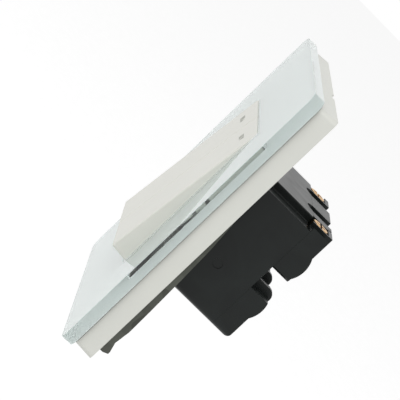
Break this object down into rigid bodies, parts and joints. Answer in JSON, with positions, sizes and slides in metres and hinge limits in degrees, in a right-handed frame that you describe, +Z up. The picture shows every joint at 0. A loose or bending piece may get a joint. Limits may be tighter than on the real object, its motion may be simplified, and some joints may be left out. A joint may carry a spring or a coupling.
{
  "type": "roller shutter switch",
  "caption": "Flush wall switch for a roller shutter: square glass panel, two spring-return rocking keys side by side for raising and lowering, dark contact housing behind.",
  "frame": {"origin": "middle of the support plate's back, midway between the two fixing slots, in the plane of the wall face", "axes": "+X to the right seen from the room, +Y out of the room into the wall, +Z up"},
  "size_m": [0.086, 0.0377, 0.086],
  "materials": {
    "glass_panel": "clear polished glass, faint green edge",
    "glass_film": "white paint layer behind the glass",
    "panel_frame": "satin white moulding",
    "support_plate": "dull galvanised steel",
    "module_cover": "pale grey moulding",
    "housing_body": "fine matt black moulding",
    "terminal_block_upper": "fine matt black moulding",
    "terminal_block_lower": "fine matt black moulding",
    "guide_plate": "fine matt black moulding",
    "line_bar": "plain brass",
    "output_bar_up": "plain brass",
    "output_bar_down": "plain brass",
    "fixed_contacts": "silver contact tips",
    "terminal_pillars": "plain brass",
    "terminal_screws": "plain brass",
    "block_screws": "zinc-plated steel",
    "cover_screws": "zinc-plated steel",
    "key_up_cap": "satin white moulding",
    "rocker_up": "pale grey moulding",
    "plunger_up": "pale grey moulding",
    "contact_bridge_up": "copper strip",
    "bridge_contacts_up": "silver contact tips",
    "return_spring_up": "spring steel wire",
    "key_down_cap": "satin white moulding",
    "rocker_down": "pale grey moulding",
    "plunger_down": "pale grey moulding",
    "contact_bridge_down": "copper strip",
    "bridge_contacts_down": "silver contact tips",
    "return_spring_down": "spring steel wire"
  },
  "bodies": {
    "switch_body": {"glass_panel": "glass_panel", "glass_film": "glass_film", "panel_frame": "panel_frame", "support_plate": "support_plate", "module_cover": "module_cover", "housing_body": "housing_body", "terminal_block_upper": "terminal_block_upper", "terminal_block_lower": "terminal_block_lower", "guide_plate": "guide_plate", "line_bar": "line_bar", "output_bar_up": "output_bar_up", "output_bar_down": "output_bar_down", "fixed_contacts": "fixed_contacts", "terminal_pillars": "terminal_pillars", "terminal_screws": "terminal_screws", "block_screws": "block_screws", "cover_screws": "cover_screws", "return_spring_up": "return_spring_up", "return_spring_down": "return_spring_down"},
    "contact_up": {"plunger_up": "plunger_up", "contact_bridge_up": "contact_bridge_up", "bridge_contacts_up": "bridge_contacts_up"},
    "contact_down": {"plunger_down": "plunger_down", "contact_bridge_down": "contact_bridge_down", "bridge_contacts_down": "bridge_contacts_down"},
    "key_up": {"key_up_cap": "key_up_cap", "rocker_up": "rocker_up"},
    "key_down": {"key_down_cap": "key_down_cap", "rocker_down": "rocker_down"}
  },
  "joints": [
    {"name": "key_up_hinge", "type": "hinge", "parent": "switch_body", "child": "key_up", "pos_m": [-0.0111, -0.0076, 0], "axis": [1, 0, 0], "range_deg": [0, 12.4], "stiffness_Nm_per_rad": 0.005, "springref_deg": -34.38},
    {"name": "plunger_up_slide", "type": "slide", "parent": "switch_body", "child": "contact_up", "axis": [0, 1, 0], "range_m": [0, 0.00195], "deforming": ["return_spring_up"]},
    {"name": "key_down_hinge", "type": "hinge", "parent": "switch_body", "child": "key_down", "pos_m": [0.0111, -0.0076, 0], "axis": [1, 0, 0], "range_deg": [0, 12.4], "stiffness_Nm_per_rad": 0.005, "springref_deg": -34.38},
    {"name": "plunger_down_slide", "type": "slide", "parent": "switch_body", "child": "contact_down", "axis": [0, 1, 0], "range_m": [0, 0.00195], "deforming": ["return_spring_down"]}
  ],
  "couplings": [
    {"joint": "plunger_up_slide", "follows": "key_up_hinge", "m_per_rad": 0.008962},
    {"joint": "plunger_down_slide", "follows": "key_down_hinge", "m_per_rad": 0.008962}
  ]
}
